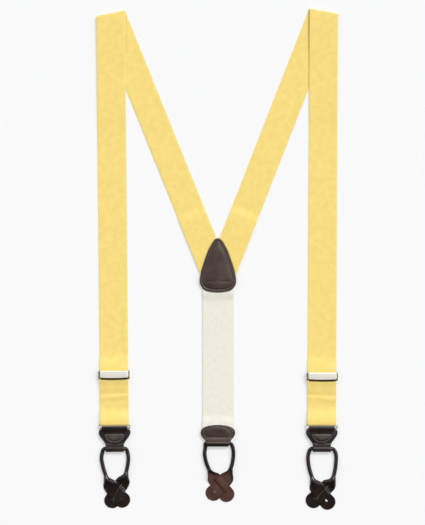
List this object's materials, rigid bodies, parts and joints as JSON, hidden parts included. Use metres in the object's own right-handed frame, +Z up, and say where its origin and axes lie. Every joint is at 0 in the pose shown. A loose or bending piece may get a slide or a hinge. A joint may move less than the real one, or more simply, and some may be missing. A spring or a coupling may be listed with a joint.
{
  "type": "suspenders",
  "caption": "Button-on trouser suspenders with a Y back: yellow webbing, leather yoke, ivory elastic, metal adjusters, wire rings and rolled leather button loops, lying folded flat.",
  "frame": {"origin": "on the surface the suspenders lie on, under the middle of their bounding box", "axes": "+X right, +Y towards the shoulder folds, +Z up; the outer side of the front legs faces +Z"},
  "size_m": [0.2948, 0.6109, 0.008],
  "materials": {
    "webbing": "fine diagonal weave with a soft sheen",
    "elastic": "fine ribbed elastic, matt",
    "dark_leather": "smooth semi-gloss calf, burnished edges",
    "loop_leather": "glossy grain outside, reddish brown inside",
    "nickel": "polished nickel plate",
    "thread": "waxed thread",
    "felt": "felt",
    "cotton_cord": "twisted cotton"
  },
  "bodies": {
    "back": {"yoke_outer": "dark_leather", "yoke_inner": "dark_leather", "yoke_filler": "felt", "yoke_seam": "thread", "strap_back_left": "webbing", "strap_back_right": "webbing", "strap_fold_left": "webbing", "strap_fold_right": "webbing", "elastic": "elastic"},
    "front_left": {"strap_front_left": "webbing"},
    "adjuster_left": {"adjuster_frame_left": "nickel", "adjuster_pin_left": "nickel", "strap_lower_left": "webbing", "strap_return_left": "webbing"},
    "lever_left": {"adjuster_lever_left": "nickel"},
    "turn_left": {"strap_turn_left": "webbing"},
    "wire_ring_left": {"ring_left": "nickel"},
    "leather_tab_left": {"tab_left": "dark_leather", "ring_strap_left": "dark_leather", "tab_seam_left": "thread"},
    "button_loop_left": {"loop_left": "loop_leather", "loop_left_core": "cotton_cord"},
    "front_right": {"strap_front_right": "webbing"},
    "adjuster_right": {"adjuster_frame_right": "nickel", "adjuster_pin_right": "nickel", "strap_lower_right": "webbing", "strap_return_right": "webbing"},
    "lever_right": {"adjuster_lever_right": "nickel"},
    "turn_right": {"strap_turn_right": "webbing"},
    "wire_ring_right": {"ring_right": "nickel"},
    "leather_tab_right": {"tab_right": "dark_leather", "ring_strap_right": "dark_leather", "tab_seam_right": "thread"},
    "button_loop_right": {"loop_right": "loop_leather", "loop_right_core": "cotton_cord"},
    "end_tab": {"back_tab": "dark_leather", "back_tab_seam": "thread"},
    "back_button_loop": {"back_loop": "loop_leather", "back_loop_core": "cotton_cord"}
  },
  "joints": [
    {"name": "shoulder_fold_left", "type": "hinge", "parent": "back", "child": "front_left", "pos_m": [-0.12989, 0.29745, 0.0021], "axis": [-0.9809, -0.1947, 0], "range_deg": [0, 165], "deforming": ["strap_fold_left"]},
    {"name": "strap_adjust_left", "type": "slide", "parent": "front_left", "child": "adjuster_left", "axis": [-0.0096, 1, 0], "range_m": [-0.05, 0.2], "deforming": ["strap_front_left"]},
    {"name": "strap_shorten_left", "type": "slide", "parent": "adjuster_left", "child": "turn_left", "axis": [-0.0096, 1, 0], "range_m": [-0.1, 0.025], "deforming": ["strap_lower_left", "strap_return_left"]},
    {"name": "lever_pivot_left", "type": "hinge", "parent": "adjuster_left", "child": "lever_left", "pos_m": [-0.12571, -0.13753, 0.0062], "axis": [-1, -0.0096, 0], "range_deg": [0, 100]},
    {"name": "ring_swing_left", "type": "hinge", "parent": "turn_left", "child": "wire_ring_left", "pos_m": [-0.1251, -0.20092, 0.0038], "axis": [-1, -0.0096, 0], "range_deg": [0, 60]},
    {"name": "tab_swing_left", "type": "hinge", "parent": "wire_ring_left", "child": "leather_tab_left", "pos_m": [-0.12505, -0.20612, 0.0038], "axis": [-1, -0.0096, 0], "range_deg": [0, 60]},
    {"name": "loop_swing_left", "type": "hinge", "parent": "leather_tab_left", "child": "button_loop_left", "pos_m": [-0.12481, -0.23112, 0.004], "axis": [-1, -0.0096, 0], "range_deg": [0, 70]},
    {"name": "shoulder_fold_right", "type": "hinge", "parent": "back", "child": "front_right", "pos_m": [0.12988, 0.30006, 0.0021], "axis": [-0.9823, 0.1872, 0], "range_deg": [0, 165], "deforming": ["strap_fold_right"]},
    {"name": "strap_adjust_right", "type": "slide", "parent": "front_right", "child": "adjuster_right", "axis": [0.0049, 1, 0], "range_m": [-0.05, 0.2], "deforming": ["strap_front_right"]},
    {"name": "strap_shorten_right", "type": "slide", "parent": "adjuster_right", "child": "turn_right", "axis": [0.0049, 1, 0], "range_m": [-0.1, 0.025], "deforming": ["strap_lower_right", "strap_return_right"]},
    {"name": "lever_pivot_right", "type": "hinge", "parent": "adjuster_right", "child": "lever_right", "pos_m": [0.12773, -0.13954, 0.0062], "axis": [-1, 0.0049, 0], "range_deg": [0, 100]},
    {"name": "ring_swing_right", "type": "hinge", "parent": "turn_right", "child": "wire_ring_right", "pos_m": [0.12743, -0.20094, 0.0038], "axis": [-1, 0.0049, 0], "range_deg": [0, 60]},
    {"name": "tab_swing_right", "type": "hinge", "parent": "wire_ring_right", "child": "leather_tab_right", "pos_m": [0.12741, -0.20614, 0.0038], "axis": [-1, 0.0049, 0], "range_deg": [0, 60]},
    {"name": "loop_swing_right", "type": "hinge", "parent": "leather_tab_right", "child": "button_loop_right", "pos_m": [0.12728, -0.23114, 0.004], "axis": [-1, 0.0049, 0], "range_deg": [0, 70]},
    {"name": "elastic_stretch", "type": "slide", "parent": "back", "child": "end_tab", "axis": [0, -1, 0], "range_m": [0, 0.06], "stiffness_N_per_m": 80, "deforming": ["elastic"]},
    {"name": "back_loop_swing", "type": "hinge", "parent": "end_tab", "child": "back_button_loop", "pos_m": [0.00085, -0.2247, 0.004], "axis": [-1, 0, 0], "range_deg": [0, 70]}
  ],
  "couplings": [
    {"joint": "strap_shorten_left", "follows": "strap_adjust_left", "ratio": -0.5},
    {"joint": "strap_shorten_right", "follows": "strap_adjust_right", "ratio": -0.5}
  ]
}
